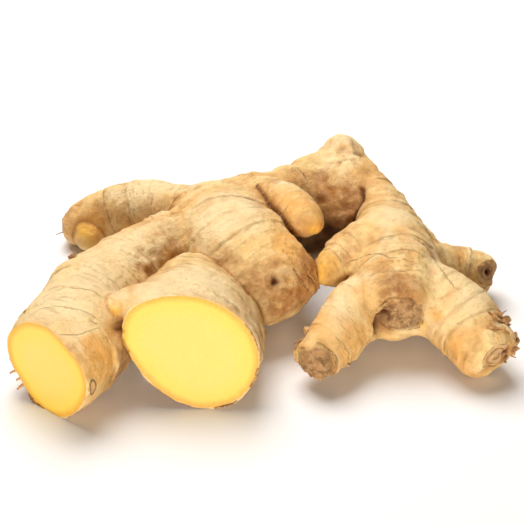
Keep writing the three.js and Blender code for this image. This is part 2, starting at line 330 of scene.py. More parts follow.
points = read_points(rhizome)
skin = where_on_lobes(drawn(points))
reach = width[skin["lobe"], skin["beside"]]
fillet = reach / 4 * np.clip(1 - skin["gap"] / reach, 0, 1) ** 2 * np.clip(1.3 * skin["turn"], 0, 1)
PRESSED = [  # x, y, z, reach, depth in mm: hollows where the root grew against a stone
    (-57.0, -60.5, 29.5, 9, 2.4), (-74.0, -46.5, 5.0, 6, 1.8), (36.8, 50.5, 34.0, 4.0, 1.4),
    (23.0, 52.5, 36.0, 3.8, 1.4), (34.0, 53.0, 36.0, 3.5, 1.4),
]
for x, y, z, reach, depth in PRESSED:
    fillet -= depth * np.exp(-(((drawn(points) - (x, y, z)) ** 2).sum(1) / reach**2))
write_points(rhizome, points + read_normals(rhizome) * (fillet * MM)[:, None])
settle = rhizome.modifiers.new("settle", "SMOOTH")
settle.factor = 0.5
settle.iterations = 8
bpy.ops.object.modifier_apply(modifier="settle")


def grain(points, size, seed):
    """A smooth random field from -1 to 1, its lumps about size across."""
    draw = np.random.default_rng(seed)
    table = draw.uniform(-1, 1, 4096)
    shuffle = draw.permutation(4096)
    spot = points / np.asarray(size, float)
    cell = np.floor(spot).astype(int)
    part = spot - cell
    part = part * part * (3 - 2 * part)
    total = np.zeros(len(points))
    for corner in itertools.product((0, 1), repeat=3):
        x, y, z = ((cell + corner) % 4096).T
        pick = shuffle[(x + shuffle[(y + shuffle[z]) % 4096]) % 4096]
        total += np.where(corner, part, 1 - part).prod(axis=1) * table[pick]
    return total


# The two knife cuts. Only the arm in front of each plane is taken off.
RIM_MERGE = 0.2  # slivers along a rim are merged, mm
CAP_RINGS = 26
cut_planes = {}
rim_loops = {}
for name, cut in CUTS.items():
    through = (np.array(cut["through"]) - TABLE_CENTRE) * MM
    facing = np.array(cut["facing"]) / np.linalg.norm(cut["facing"])
    cut_planes[name] = (through, facing)
work = bmesh.new()
work.from_mesh(rhizome.data)
work.verts.ensure_lookup_table()
centres = {name: spines[name]["place"][-1] for name in CUTS}
rim_layer = work.verts.layers.float.new("rim")  # mm from the skin, on a cut face; 0 on the skin
for name, (through, facing) in cut_planes.items():
    centre = Vector((centres[name] - TABLE_CENTRE) * MM)
    near_end = [v for v in work.verts
                if (centre - v.co).length < 45 * MM and (v.co - Vector(through)).dot(facing) > -4 * MM]
    lobe_of = where_on_lobes(drawn(np.array([v.co[:] for v in near_end])))["lobe"]
    # In order of first use, so that every run cuts the same mesh in the same way.
    arm = [v for v, found in zip(near_end, lobe_of) if lobe_names[found] == name]
    edges = dict.fromkeys(e for v in arm for e in v.link_edges)
    faces = dict.fromkeys(f for v in arm for f in v.link_faces)
    bmesh.ops.bisect_plane(work, geom=[*arm, *edges, *faces], plane_co=Vector(through),
                           plane_no=Vector(facing), clear_outer=True, dist=1e-6)
    rim = dict.fromkeys(v for e in work.edges if e.is_boundary for v in e.verts
                        if abs((v.co - Vector(through)).dot(facing)) < 1e-5)
    bmesh.ops.remove_doubles(work, verts=list(rim), dist=RIM_MERGE * MM)
    rim = [e for e in work.edges if e.is_boundary]
    loop = list(rim[0].verts)
    used = {rim[0]}
    while True:
        step = next((e for e in loop[-1].link_edges if e.is_boundary and e not in used), None)
        if step is None or step.other_vert(loop[-1]) is loop[0]:
            break
        used.add(step)
        loop.append(step.other_vert(loop[-1]))
    middle = sum((v.co for v in loop), Vector()) / len(loop)
    spots = drawn(np.array([v.co[:] for v in loop]))
    torn = np.clip(0.5 * (spots[:, 0] - spots[:, 0].mean()) / 15 + 0.5 * (10 - spots[:, 2]) / 10, 0, 1)
    jag = 0.22 * grain(spots, 3.0, 51) + torn * (0.35 * grain(spots, 1.6, 52) - 0.15)
    for v, step in zip(loop, jag):
        v.co += (v.co - middle).normalized() * step * MM
    rim_loops[name] = (drawn(np.array(middle[:])), drawn(np.array([v.co[:] for v in loop])))
    before = loop
    for ring in range(1, CAP_RINGS + 1):
        scale = 0.982 if ring == 1 else 1 - ring / (CAP_RINGS + 1)
        now = []
        for v in loop:
            made = work.verts.new(middle + (v.co - middle) * scale)
            made[rim_layer] = (1 - scale) * (v.co - middle).length / MM
            now.append(made)
        for i, (a, b) in enumerate(zip(before, before[1:] + before[:1])):
            face = work.faces.new((a, b, now[(i + 1) % len(now)], now[i]))
            face.material_index = 0 if ring == 1 else 1
        before = now
    heart = work.verts.new(middle)
    heart[rim_layer] = min((v.co - middle).length for v in loop) / MM
    for a, b in zip(before, before[1:] + before[:1]):
        work.faces.new((a, b, heart)).material_index = 1
    for a, b in zip(loop, loop[1:] + loop[:1]):
        work.edges.get((a, b)).smooth = False
for face in work.faces:
    face.smooth = True
bmesh.ops.recalc_face_normals(work, faces=work.faces)
work.to_mesh(rhizome.data)
work.free()
rhizome.data.update()


# The skin's relief, in mm: leaf-scar steps, the creases that shrinking drew across each lobe,
# low lumps, and the rough dried patches round the old scars.
ROUGH = [  # x, y, z, reach, in mm: where the skin is knobbly
    (5, -20, 21, 12), (15, -14, 22, 9), (27, 33, 25, 12), (26, 40, 32, 9), (42, -26, 20, 10),
    (16, -42, 9, 7), (73, -37, 10, 8), (77, 7, 11, 6), (-71, 44, 12, 6), (-39, -9, 22, 9),
    (43, -20, 30, 10), (43, -26, 25, 9), (-2, 36, 33, 7), (-14, 30, 33, 8), (-44, 43, 20, 8),
    (-28, 14, 28, 8), (9, -10, 29, 6),
]
SMOOTH = [  # x, y, z, reach: where the skin is still young, tight and pale
    (-60, -42, 31, 17), (-50, -14, 29, 12), (-47, 0, 28, 8), (-19, -38, 37, 13), (-30, -44, 33, 9),
    (-14, 2, 37, 12), (43, 8, 36, 8), (30, -22, 23, 7), (24, -31, 19, 7), (58, -20, 26, 8),
    (64, -28, 21, 8), (11, 14, 36, 6), (-42, 41, 25, 8), (-45, -40, 30, 4), (22, -36, 17, 5),
    (56, -30, 18, 7),
]
PITS = [  # x, y, z, radius, depth: dried-out holes
    (3.2, -19.3, 24.1, 1.6, 2.4), (35.8, -29.4, 14.0, 2.3, 4.0), (37.8, -29.4, 16.0, 2.1, 4.0),
    (39.4, -28.8, 18.0, 1.5, 3.0), (77.0, 4.2, 13.4, 1.9, 2.6), (76.0, -37.4, 11.0, 1.3, 1.4),
    (77.2, -36.4, 8.0, 1.1, 1.2),
]
BUMPS = [  # x, y, z, reach, height: knuckles on the skin
    (17.8, -10.5, 17.5, 4.5, 1.8), (14.5, -14.5, 23.0, 3.0, 0.8), (31.5, 28.0, 21.0, 4.0, 1.0),
    (24.5, 33.5, 25.0, 4.0, 0.8), (-14.5, -24.0, 31.5, 3.0, 0.4), (-40.5, -38.5, 32.0, 2.6, 0.9),
]
EDGES = [  # lines on the skin where an old scale's edge still stands, and how high
    (0.55, [(49.5, -8.6, 33.8), (52.8, -9.7, 31.8), (56.0, -12.1, 28.0), (58.5, -19.7, 27.4),
            (60.5, -22.7, 25.9)]),
    (0.5, [(-67.4, 44.9, 15.3), (-61.8, 44.9, 17.8), (-54.4, 43.7, 20.5), (-47.0, 42.4, 23.8)]),
    (0.35, [(-24.6, -10.4, 30.0), (-18.3, -15.1, 31.0), (-15.0, -19.6, 31.1), (-12.2, -24.5, 31.8)]),
    (0.4, [(29.3, -9.7, 26.1), (33.3, -11.3, 29.0), (37.3, -13.8, 31.3), (41.6, -16.2, 31.6),
           (46.0, -17.0, 31.0)]),
    (0.4, [(36.5, -20.0, 27.0), (40.0, -21.5, 29.5), (44.5, -22.0, 30.0), (48.5, -20.5, 28.0)]),
    (0.4, [(38.0, -27.0, 22.5), (40.5, -28.2, 24.8), (43.5, -28.6, 25.4), (46.8, -28.3, 23.8)]),
    (0.25, [(-66.8, -38.3, 30.8), (-61.7, -36.4, 32.7), (-57.6, -36.6, 33.4), (-52.9, -37.4, 33.4),
            (-49.8, -38.2, 32.3)]),
    (0.25, [(-70.7, -45.2, 28.8), (-67.0, -44.3, 30.4), (-62.9, -45.1, 31.7), (-58.1, -46.5, 32.3),
            (-53.5, -47.5, 31.9), (-50.5, -48.0, 30.4)]),
    (0.25, [(-58.5, -56.6, 30.8), (-54.3, -55.7, 29.8), (-51.6, -52.9, 29.0), (-50.0, -51.1, 28.5)]),
]
# Each line below is carved into the skin and painted with shade along it, wider than the carving.
CREASES = [  # folds that close over shade: depth and half width in mm, then the line
    (0.9, 0.9, [(2.7, 15.8, 32.4), (5.4, 9.5, 32.2), (8.7, 6.1, 30.4), (12.0, 4.5, 26.6)]),
    (1.2, 1.3, [(34.8, 32.1, 30.3), (33.8, 26.4, 28.7), (32.8, 24.8, 24.9), (31.5, 23.5, 20.0)]),
    (0.4, 1.1, [(19.7, 38.2, 26.9), (23.1, 34.7, 27.6), (27.2, 33.0, 29.0), (31.4, 32.8, 29.9)]),
    (0.3, 1.0, [(22.5, 32.5, 22.0), (26.0, 29.5, 23.0), (30.0, 27.0, 24.0)]),
    (0.5, 1.2, [(26.5, -3.5, 17.0), (29.0, -8.5, 16.5), (31.0, -12.5, 18.0)]),
    (1.0, 1.0, [(-39.5, -42.5, 25.0), (-41.0, -43.0, 21.5), (-41.5, -42.0, 16.0), (-41.0, -40.0, 10.0)]),
]
ROOT_SCARS = [  # x, y, z, then the long way of the oval, then its half length and half width
    ((-51.2, -63.6, 15.5), (0.15, -0.2, 1.0), 2.6, 1.4),
    ((-30.0, 46.0, 12.0), (1.0, 0.2, 0.1), 1.8, 1.2),
    ((54.0, 14.0, 9.0), (0.2, 0.0, 1.0), 1.6, 1.1),
    ((-8.0, 50.0, 14.0), (0.6, 0.0, 0.6), 2.0, 1.3),
    ((40.0, 62.0, 22.0), (0.6, 0.0, 0.6), 2.0, 1.3),
    ((55.0, -2.0, 10.0), (0.2, 0.0, 1.0), 1.8, 1.2),
    ((-60.0, 2.0, 14.0), (0.2, 0.3, 1.0), 2.0, 1.3),
    ((-74.0, -32.0, 12.0), (0.2, 0.3, 1.0), 2.1, 1.3),
]


def beside_line(here, normals, line):
    """How far each point of the skin is from a line drawn on it, signed by side, and how far
    along the line that is, from 0 to 1."""
    path = smooth_curve(line, 14)
    square = (here**2).sum(1)[:, None] - 2 * here @ path.T + (path**2).sum(1)[None, :]
    near = square.argmin(1)
    offset = here - path[near]
    far = np.linalg.norm(offset, axis=1)
    offset -= normals * (offset * normals).sum(1)[:, None]
    side = np.cross(np.gradient(path, axis=0)[near], normals)
    signed = np.linalg.norm(offset, axis=1) * np.sign((offset * side).sum(1))
    return np.where(far < 8, signed, 50.0), near / (len(path) - 1)


points = read_points(rhizome)
here = drawn(points)
normals = read_normals(rhizome)
skin = where_on_lobes(here)
lobe, level, angle, out = skin["lobe"], skin["s"], skin["angle"], skin["out"]
specs = [LOBES[name] for name in lobe_names]
phases = np.array([spec["phase"] for spec in specs])[lobe]
lengths = np.array([spines[name]["length"] for name in lobe_names])[lobe]
level = level - drift(angle, level, lengths, phases)
straight = np.column_stack([out * np.cos(angle), out * np.sin(angle), level + 300 * lobe])
apart = np.clip((skin["gap"] - 0.6) / 2.5, 0, 1)  # 0 where two lobes' skins run together
to_next = np.full(len(here), 50.0)
since_last = np.full(len(here), 50.0)
for index, spec in enumerate(specs):
    mine = lobe == index
    for ring in spec["rings"]:
        ahead = ring - level[mine]
        to_next[mine] = np.minimum(to_next[mine], np.where(ahead >= 0, ahead, 50))
        since_last[mine] = np.minimum(since_last[mine], np.where(ahead < 0, -ahead, 50))
ring_gap = np.where(to_next < since_last, -to_next, since_last)  # mm past the nearest scar
rough = np.zeros(len(here))
for x, y, z, reach in ROUGH:
    rough = np.maximum(rough, np.exp(-(((here - (x, y, z)) ** 2).sum(1) / reach**2) * 1.2))
smooth = np.zeros(len(here))
for x, y, z, reach in SMOOTH:
    away = np.linalg.norm(here - (x, y, z), axis=1) / reach + 0.25 * grain(here, 6, 24)
    smooth = np.maximum(smooth, np.clip(1.4 - away, 0, 1))
uneven = apart * np.clip(0.6 + 0.6 * grain(straight, (9, 9, 25), 11), 0.1, 1)
relief = RING_HEIGHT * np.exp(-to_next / RING_RISE) * uneven
relief -= 0.25 * np.exp(-((since_last / 0.7) ** 2)) * uneven
relief += 0.55 * grain(here, 11, 12)
small = 0.34 * grain(here, 5.0, 13) + 0.26 * grain(here, 2.5, 18) + 0.15 * grain(here, 1.5, 20)
small += apart * (0.2 * grain(straight, (9, 9, 2.1), 14) + 0.14 * grain(straight, (5, 5, 1.4), 15))
small += rough * (0.6 * grain(here, 3.4, 16) + 0.5 * grain(here, 1.9, 17))
small *= 1 - 0.65 * smooth
relief += small
# How deep each point lies in a sharp fold between two lobes: it carves the fold, makes it matt, and the skin
# shader paints shade into it.
sharp = np.clip(1.3 - width[skin["lobe"], skin["beside"]] / 3.5, 0, 1)
crease = sharp * np.exp(-np.clip(skin["gap"], 0, 50) / 1.4)
relief -= 0.7 * crease

for x, y, z, reach, height in BUMPS:
    relief += height * np.exp(-(((here - (x, y, z)) ** 2).sum(1) / reach**2))

# Scale edges stand up on one side of their line.
edge = np.full(len(here), 50.0)
for height, line in EDGES:
    beside, part = beside_line(here, normals, line)
    taper = np.sqrt(np.clip(np.sin(math.pi * np.clip(part, 0, 1)), 0, 1))
    step = np.where(beside > 0, np.exp(-beside / 3.0), 0) - 0.5 * np.exp(-((beside + 0.5) / 0.6) ** 2)
    relief += height * taper * step
    edge = np.where(np.abs(beside) < np.abs(edge), beside, edge)

fold = np.zeros(len(here))
shade = np.zeros(len(here))
for depth, half_width, line in CREASES:
    path = smooth_curve(line, 14)
    square = (here**2).sum(1)[:, None] - 2 * here @ path.T + (path**2).sum(1)[None, :]
    path = here[square.argmin(0)]
    square = (here**2).sum(1)[:, None] - 2 * here @ path.T + (path**2).sum(1)[None, :]
    away = np.sqrt(np.maximum(square.min(1), 0))
    mark = np.exp(-((away / half_width) ** 2))
    relief -= depth * mark
    fold = np.maximum(fold, mark * min(1, depth))
    shade = np.maximum(shade, min(1, depth) * np.exp(-((away / half_width / 2.2) ** 2)))
crease = np.maximum(crease, fold)

# Root scars are ovals with a low rim round a slightly sunken middle.
depth_in = np.empty(len(points))
rhizome.data.attributes["rim"].data.foreach_get("value", depth_in)
oval = np.full(len(here), 50.0)
for centre, long_way, half_length, half_width in ROOT_SCARS:
    nearest = here[np.linalg.norm(here - centre, axis=1).argmin()]
    offset = here - nearest
    close = np.linalg.norm(offset, axis=1) < 8
    offset -= normals * (offset * normals).sum(1)[:, None]
    ahead = long_way - normals * (normals @ np.array(long_way))[:, None]
    ahead /= np.linalg.norm(ahead, axis=1)[:, None] + 1e-9
    a = (offset * ahead).sum(1) / half_length
    b = (offset * np.cross(normals, ahead)).sum(1) / half_width
    outside = np.where(close, (np.hypot(a, b) - 1) * half_width, 50.0)
    oval = np.minimum(oval, np.where(depth_in > 0, 50.0, outside))
relief += 0.3 * np.exp(-((oval / 0.5) ** 2)) - 0.35 * np.clip(-oval, 0, 1)

# Where a finger dried back, its end is a sunken disc with a low lip, ringed by the old layers.
ENDS = [  # x, y, z, radius and depth in mm, how crumbly, and how plainly ringed
    (44.2, -28.4, 17.6, 7.0, 0.0, 0.4, 0.0), (17.8, -43.0, 10.6, 6.6, -0.6, 1.6, 0.0),
    (72.6, -38.6, 10.8, 4.8, 0.1, 0.5, 1.0), (76.2, 3.5, 13.2, 4.0, 0.4, 1.0, 0.5),
]
disc = np.full(len(here), 50.0)
ringed = np.zeros(len(here))
for x, y, z, radius, depth, crumbly, rings in ENDS:
    nearest = here[np.linalg.norm(here - (x, y, z), axis=1).argmin()]
    away = np.linalg.norm(here - nearest, axis=1)
    inside = away - radius * (1 + 0.2 * grain(here, 3.5, 41))
    relief -= depth * np.clip(-inside / 1.5, 0, 1)
    relief += 0.35 * np.exp(-(((inside - 0.4) / 0.7) ** 2))
    layered = 0.16 * np.cos(away * 2 * math.pi / 1.7) + 0.55 * crumbly * grain(here, 1.7, 19)
    relief += np.clip(-inside, 0, 1) * layered
    ringed = np.where(inside < disc, rings, ringed)
    disc = np.minimum(disc, inside)
hollow = np.zeros(len(here))
for x, y, z, radius, depth in PITS:
    wander = 1 + 0.35 * grain(here, 1.8, 22)
    nearest = here[np.linalg.norm(here - (x, y, z), axis=1).argmin()]
    away = np.linalg.norm(here - nearest, axis=1) / radius * wander
    relief -= depth * np.exp(-(away**2) * 1.4)
    relief += 0.12 * depth * np.exp(-(((away - 1.9) / 0.55) ** 2))
    hollow = np.maximum(hollow, np.exp(-(away**2) * 1.1))

# On a cut face nothing bulges: the flesh shrinks back a little inside the rim as it dries.
DISH = 0.35
move = normals * relief[:, None]
for name, (through, facing) in cut_planes.items():
    flat = (np.abs((points - through) @ facing) < 0.02 * MM) & (lobe == lobe_names.index(name))
    flat |= (np.abs((points - through) @ facing) < 0.02 * MM) & (depth_in > 0)
    move[flat] -= np.outer(move[flat] @ facing, facing)
    inner = flat & (depth_in > 0)
    sunk = -DISH * (1 - np.exp(-depth_in / 5)) + 0.06 * grain(here, 2.2, 21)
    move[inner] = np.outer((sunk * np.clip(depth_in / 1.5, 0, 1))[inner], facing)
points = points + move * MM
# Nothing sinks into the table, and nothing leaves the box that the solid was drawn in.
CLEARANCE = 0.01 * MM
low_corner, high_corner = np.array(cad_box[0]) + CLEARANCE, np.array(cad_box[1]) - CLEARANCE
points = np.clip(points, low_corner, high_corner)
write_points(rhizome, points)

# Where the skin is golden (young), buttery (buds), brown (dried; partly painted shade on shaded sides),
# pale (young; partly painted light on lit tops) and dark (painted shade in hollows), as x, y, z and reach in
# mm.
PATCHES = {
    "gold": [
        (-48.5, -57, 22, 8), (-46, -52, 18, 7), (19, -33, 18, 6), (27, -38, 14, 7), (34, -24, 22, 5),
        (60.6, -38, 14, 5), (55, -32, 20, 3), (17, 4.4, 29, 5), (66, 7, 16, 4),
        (-44, -44, 20, 5), (-20, -47, 2, 6), (-50, -57, 27, 5), (-46, -49, 25, 4), (-62.5, 38, 11, 6.5),
        (10, 13, 36, 7), (9, -6, 29, 8),
        (16, -9, 24, 5),
    ],
    "butter": [
        (-63.2, 35.5, 10, 4.5), (-45.0, -42, 28, 4.5), (18.5, -8, 23, 6.5), (13.4, -35.6, 16.7, 2.4),
        (50.6, -30, 14.5, 2.2), (78.6, 4, 10.2, 2.2), (17.4, 4.6, 29, 2.4),
    ],
    "brown": [
        (0.5, -19.5, 24, 7), (3.2, -19.3, 24, 6.5), (6, -22, 18, 8), (14, -15, 20, 6), (28, 31, 23, 9),
        (24, 36, 27, 7), (43, -26, 25, 7),
        (40, -28, 14, 5), (15, -44, 8, 6), (75, -38, 10, 6), (78, 6, 12, 4), (-74, 45, 9, 4),
        (-34, -9, 21, 4), (14, -9, 26, 6), (12, -18, 17, 6), (-42, -48, 9, 7), (16, -22, 14, 5),
        (24, 26, 25, 5),
    ],
    "pale": [
        (-19, -36, 37, 12), (-30, -43, 36, 10), (-8, -40, 34, 9), (-62, -42, 32, 8), (-54, -56, 29, 6),
        (-12, 5, 37, 15), (44, 3, 36, 7), (22, -31, 22, 6), (-24, 40, 26, 8), (68, -26, 20, 8),
        (56, -10, 27, 6), (46, -30, 10, 5), (8, 24, 37, 5), (28, 54, 38, 10), (12, 17, 36, 6),
        (-50.7, -28.6, 31.2, 12), (76.3, -34.1, 19.9, 4), (-35, 4, 28.6, 8), (-4, -37, 27, 5),
        (-36, 2, 28.5, 10), (-41, -6, 28.5, 8), (43, -10, 33, 6), (-37, 44, 25, 8),
        (-43.3, 41, 24.5, 9), (-50.8, 45, 22.3, 6), (-44, -41, 32, 4.5),
        (-48, 45, 24, 7), (-58, -46, 32, 8), (33, -20, 24, 5), (-2, -42, 24, 9), (29, 47, 36, 6),
        (49, -28, 14, 3), (27, 45, 34, 8), (-32, 42, 25, 7),
    ],
    # Painted shade: dark brown where the hollow under the back knob and the gaps near the table lie in
    # shadow.
    "soil": [
        (24, 12, 12, 13), (30, 24, 12, 10), (27, 33, 8, 8), (20, 36, 10, 8), (18, 24, 18, 6),
        (-34, -18, 14, 6), (12, -20, 4, 6), (36, 20, 10, 7),
        (22, 28, 12, 8), (17, 36, 5, 7), (21, 35, 6, 7), (13, 37, 6, 7),
    ],
}
marks = {}
for kind, patches in PATCHES.items():
    blur = grain(here, 5, 31 + len(kind)) * 0.35
    mark = np.zeros(len(here))
    for x, y, z, reach in patches:
        away = np.linalg.norm(here - (x, y, z), axis=1) / reach + blur
        mark = np.maximum(mark, np.clip(1.35 - away, 0, 1))
    marks[kind] = mark * mark * (3 - 2 * mark)
budding = np.array([spec.get("tip") in ("bud", "worn") for spec in specs])[lobe]
marks["butter"] *= budding
# Fine rings lie close together on the arms just behind the knife cuts.
behind_cut = np.full(len(here), 50.0)
for name, (through, facing) in cut_planes.items():
    behind = (through - points) @ facing / MM
    behind_cut = np.where(lobe == lobe_names.index(name), np.minimum(behind_cut, behind), behind_cut)
fine = np.clip(1.4 - behind_cut / 14, 0, 1)
layers = dict(smooth=smooth, shade=shade, ring=ring_gap, edge=edge, oval=oval, crease=crease,
              rough=rough, disc=disc,
              ringed=ringed, hollow=hollow, apart=apart, fine=fine, small=small, **marks)
for name, values in layers.items():
    layer = rhizome.data.attributes.new(name, "FLOAT", "POINT")
    layer.data.foreach_set("value", values.astype(np.float32))
layer = rhizome.data.attributes.new("straight", "FLOAT_VECTOR", "POINT")
layer.data.foreach_set("vector", (straight * MM).astype(np.float32).ravel())


def colour(code):
    """An sRGB hex value as linear red, green, blue and alpha."""
    parts = [int(code[i:i + 2], 16) / 255 for i in (1, 3, 5)]
    return [c / 12.92 if c <= 0.04045 else ((c + 0.055) / 1.055) ** 2.4 for c in parts] + [1]


def add(tree, kind, inputs=None, **settings):
    """One node with its settings, and a value or a link for each input named."""
    made = tree.nodes.new("ShaderNode" + kind)
    for key, value in settings.items():
        setattr(made, key, value)
    for key, value in (inputs or {}).items():
        if isinstance(value, bpy.types.NodeSocket):
            tree.links.new(value, made.inputs[key])
        else:
            made.inputs[key].default_value = value
    return made


def per_metre(size_mm):
    """A noise scale whose lumps are this many millimetres across."""
    return 1 / (size_mm * MM)


# Corky ginger skin, washed: tan and matt with a faint sheen, mottled, crossed by thin broken
# grey-brown lines, golden where it is young and brown where it has dried. Painted shade darkens its
# creases, folds, pits, hollows and low spots, and painted highlight lightens its raised spots and lit tops.
skin_finish = bpy.data.materials.new("corky_ginger_skin")
skin_finish.use_nodes = True
tree = skin_finish.node_tree
shader = tree.nodes["Principled BSDF"]
object_place = add(tree, "TexCoord").outputs["Object"]
straight_place = add(tree, "Attribute", attribute_name="straight").outputs["Vector"]


def attribute(name):
    return add(tree, "Attribute", attribute_name=name).outputs["Fac"]


def field(size_mm, detail=3.0, place=object_place, roughness=0.55):
    return add(tree, "TexNoise", {"Vector": place, "Scale": per_metre(size_mm), "Detail": detail,
                                  "Roughness": roughness}).outputs["Fac"]


def between(value, low, high, to_low=0.0, to_high=1.0):
    return add(tree, "MapRange", {"Value": value, "From Min": low, "From Max": high, "To Min": to_low,
                                  "To Max": to_high}, interpolation_type="SMOOTHSTEP").outputs[0]


def times(a, b):
    return add(tree, "Math", {0: a, 1: b}, operation="MULTIPLY").outputs[0]


def paint(amount, under, over):
    return add(tree, "Mix", {0: amount, 6: under, 7: over}, data_type="RGBA").outputs[2]


streak_place = add(tree, "Mapping", {"Vector": straight_place, "Scale": (0.16, 0.16, 1.0)}).outputs[0]
# Low and raised spots of the small relief: painted shade goes into the low ones, painted highlight onto the
# raised ones.
low = between(attribute("small"), -0.42, 0.05, 1.0, 0.0)
high = between(attribute("small"), 0.05, 0.45)
tone = paint(between(field(15), 0.38, 0.62), colour("#EAB973"), colour("#F5D28F"))
tone = paint(times(between(field(8, 4), 0.48, 0.66), 0.5), tone, colour("#E4A868"))
# Pale cream: young skin, and partly painted light on the tops that face the lamp.
tone = paint(times(attribute("pale"), between(field(7, 4), 0.3, 0.6, 0.35, 0.8)), tone, colour("#F6DEAC"))
blotchy = between(attribute("smooth"), 0.0, 1.0, 1.0, 0.5)
tone = paint(times(attribute("smooth"), 0.6), tone, colour("#F8DDA8"))
mottling = times(between(field(3.2, 6, roughness=0.65), 0.50, 0.70), 0.4)
tone = paint(times(mottling, blotchy), tone, colour("#C68F50"))
# Painted highlight on the raised spots, then painted shade in the low spots.
tone = paint(times(high, 0.45), tone, colour("#F9E0AA"))
tone = paint(times(times(low, 0.4), blotchy), tone, colour("#AA6A2E"))
streaks = times(attribute("apart"), between(field(1.1, 4, streak_place, 0.6), 0.56, 0.70))
tone = paint(times(streaks, between(attribute("fine"), 0.0, 1.0, 0.14, 0.28)), tone, colour("#AA8048"))
tone = paint(times(attribute("gold"), between(field(6, 4), 0.3, 0.6, 0.3, 0.7)), tone, colour("#F0AC50"))
tone = paint(times(attribute("butter"), between(field(2.5, 4), 0.35, 0.6, 0.4, 0.9)), tone, colour("#F8C352"))
# Brown where the skin has dried round scars and ends, and partly painted shade on shaded sides.
tone = paint(times(attribute("brown"), between(field(2.6, 5), 0.3, 0.62, 0.4, 0.9)), tone,
             colour("#AB7440"))
grit = between(field(1.7, 5, roughness=0.65), 0.50, 0.66)
tone = paint(times(attribute("rough"), times(grit, 0.45)), tone, colour("#945F2E"))
tone = paint(times(grit, 0.12), tone, colour("#94693C"))
wobble = add(tree, "Math", {0: field(4, 3), 1: 0.5}, operation="SUBTRACT").outputs[0]


def size_of(value):
    return add(tree, "Math", {0: value}, operation="ABSOLUTE").outputs[0]


def line_at(name, half_width, broken, run=6):
    """A thin line where a signed distance is nought, broken where the noise is low."""
    away = add(tree, "Math", {0: attribute(name), 1: times(wobble, 1.6)}, operation="ADD").outputs[0]
    line = between(size_of(away), half_width * 0.2, half_width, 1.0, 0.0)
    return times(line, between(field(run, 3), broken - 0.08, broken + 0.08))


worn_ring = times(attribute("apart"), between(attribute("smooth"), 0.2, 0.9, 1.0, 0.15))
ring_line = times(worn_ring, line_at("ring", 0.5, 0.47, 9))
edge_line = line_at("edge", 0.45, 0.30)
ring_lip = times(attribute("apart"), between(size_of(add(tree, "Math", {0: attribute("ring"), 1: 0.9},
                                                         operation="ADD").outputs[0]), 0.2, 0.9, 1.0, 0.0))
tone = paint(times(times(ring_lip, between(field(5, 3), 0.42, 0.6)), 0.3), tone, colour("#F5DDAC"))
tone = paint(times(ring_line, 0.42), tone, colour("#8A6A40"))
# Brown line along each standing scale edge, partly painted shade at the foot of the edge.
tone = paint(times(edge_line, between(attribute("smooth"), 0.2, 0.9, 0.5, 0.3)), tone, colour("#855A32"))
oval_edge = between(size_of(attribute("oval")), 0.1, 0.42, 1.0, 0.0)
tone = paint(between(attribute("oval"), -0.6, 0.1, 0.5, 0.0), tone, colour("#B98A63"))
tone = paint(times(oval_edge, 0.75), tone, colour("#6E4A2A"))
cell = add(tree, "TexVoronoi", {"Vector": object_place, "Scale": per_metre(3.4), "Randomness": 1.0})
speck = times(between(cell.outputs["Distance"], 0.03, 0.12, 1.0, 0.0),
              between(add(tree, "SeparateColor", {0: cell.outputs["Color"]}).outputs[0], 0.66, 0.72))
tone = paint(times(speck, 0.4), tone, colour("#805A36"))
scar_tone = paint(between(field(2.4, 5, roughness=0.6), 0.42, 0.62), colour("#B48A5C"), colour("#7C5430"))
scar_tone = paint(times(between(field(0.8, 4), 0.52, 0.64), 0.5), scar_tone, colour("#DAB787"))
# Painted shade in the low spots of the scars.
scar_tone = paint(times(low, 0.6), scar_tone, colour("#54351C"))
pulse = add(tree, "Math", {0: times(attribute("disc"), 2 * math.pi / 1.7)}, operation="COSINE").outputs[0]
layer_tone = paint(between(pulse, -0.2, 0.8), colour("#DDB682"), colour("#A97845"))
scar_tone = paint(times(attribute("ringed"), 0.85), scar_tone, layer_tone)
tone = paint(between(attribute("disc"), -1.3, 0.3, 0.85, 0.0), tone, scar_tone)
disc_edge = between(size_of(attribute("disc")), 0.1, 0.5, 1.0, 0.0)
tone = paint(times(disc_edge, between(field(3, 3), 0.42, 0.58, 0.05, 0.6)), tone, colour("#6A4526"))
# Painted shade along the lines of CREASES.
tone = paint(times(attribute("shade"), 0.55), tone, colour("#9A5A24"))
# Painted shade in the creases and folds: a warm brown margin, then dark brown at the bottom.
tone = paint(between(attribute("crease"), 0.1, 0.6, 0.0, 0.7), tone, colour("#C3843F"))
tone = paint(between(attribute("crease"), 0.3, 1.0, 0.0, 0.95), tone, colour("#5A2E0D"))
# Painted shade, dark brown, in the hollow under the back knob and the gaps near the table.
tone = paint(times(attribute("soil"), 0.92), tone, colour("#4C280F"))
# Painted shade inside the pits, dark brown.
tone = paint(between(attribute("hollow"), 0.1, 0.9), tone, colour("#5E2C0E"))
tree.links.new(tone, shader.inputs["Base Color"])
matt = add(tree, "Math", {0: between(field(3, 4), 0.3, 0.7, 0.52, 0.72),
                          1: times(attribute("crease"), 0.95)}, operation="MAXIMUM").outputs[0]
tree.links.new(matt, shader.inputs["Roughness"])
shader.inputs["Specular IOR Level"].default_value = 0.28
shader.inputs["Subsurface Weight"].default_value = 0.2
shader.inputs["Subsurface Radius"].default_value = (1.0, 0.5, 0.2)
shader.inputs["Subsurface Scale"].default_value = 1.8 * MM
height = add(tree, "Math", {0: times(field(1.6, 6, roughness=0.65), 0.6), 1: times(streaks, -0.16)},
             operation="ADD").outputs[0]
height = add(tree, "Math", {0: height, 1: times(ring_line, -0.10)}, operation="ADD").outputs[0]
height = add(tree, "Math", {0: height, 1: times(edge_line, -0.25)}, operation="ADD").outputs[0]
height = add(tree, "Math", {0: height, 1: times(oval_edge, -0.20)}, operation="ADD").outputs[0]
